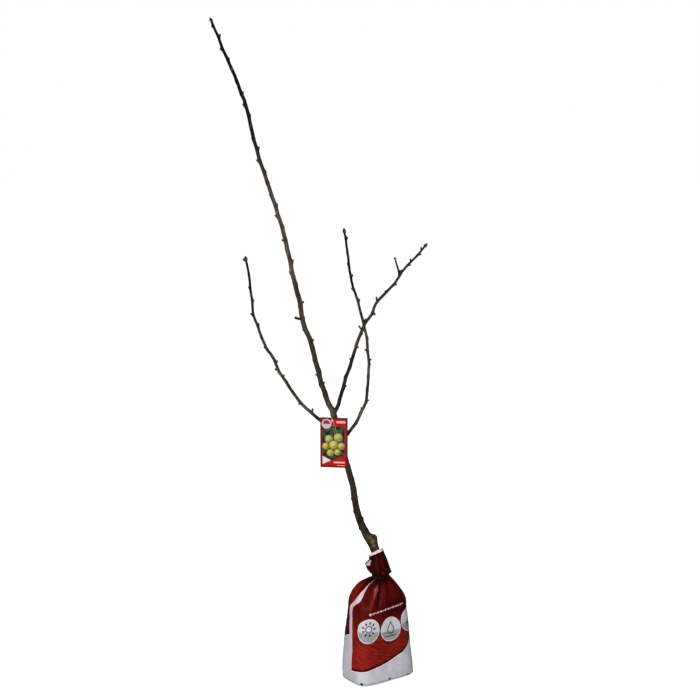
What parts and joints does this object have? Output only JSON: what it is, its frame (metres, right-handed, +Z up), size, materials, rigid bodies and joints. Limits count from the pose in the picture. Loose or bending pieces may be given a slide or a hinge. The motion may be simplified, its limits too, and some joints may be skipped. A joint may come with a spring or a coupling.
{
  "type": "young bare asian pear tree on its bagged root ball",
  "caption": "Young bare fruit tree with a leaning leader and arching side boughs, its root ball packed in a film bag tied at the neck, with a hanging plant label.",
  "frame": {"origin": "middle of the flat underside of the bag round the root ball", "axes": "+Z up along the tree's height, -Y towards the front, +X to the right seen from the front"},
  "size_m": [0.5297, 0.2326, 1.6913],
  "materials": {
    "bag_film": "printed film, glossy, creased",
    "peat": "crumbly",
    "tie_wire": "coated wire",
    "trunk_bark": "rough bark",
    "bough_bark": "smooth bark with pores",
    "shoot_bark": "smooth young bark",
    "label_card": "printed, satin",
    "label_thread": "thin elastic"
  },
  "bodies": {
    "root": {"trunk": "trunk_bark", "leader": "bough_bark", "leader_shoot": "shoot_bark", "left_bough": "bough_bark", "left_shoot": "shoot_bark", "centre_bough": "bough_bark", "centre_shoot": "shoot_bark", "right_bough_lower": "bough_bark", "right_bough_upper": "bough_bark", "right_shoot": "shoot_bark", "root_ball": "peat", "bag": "bag_film", "bag_tie": "tie_wire", "label": "label_card", "label_thread": "label_thread"}
  },
  "joints": []
}
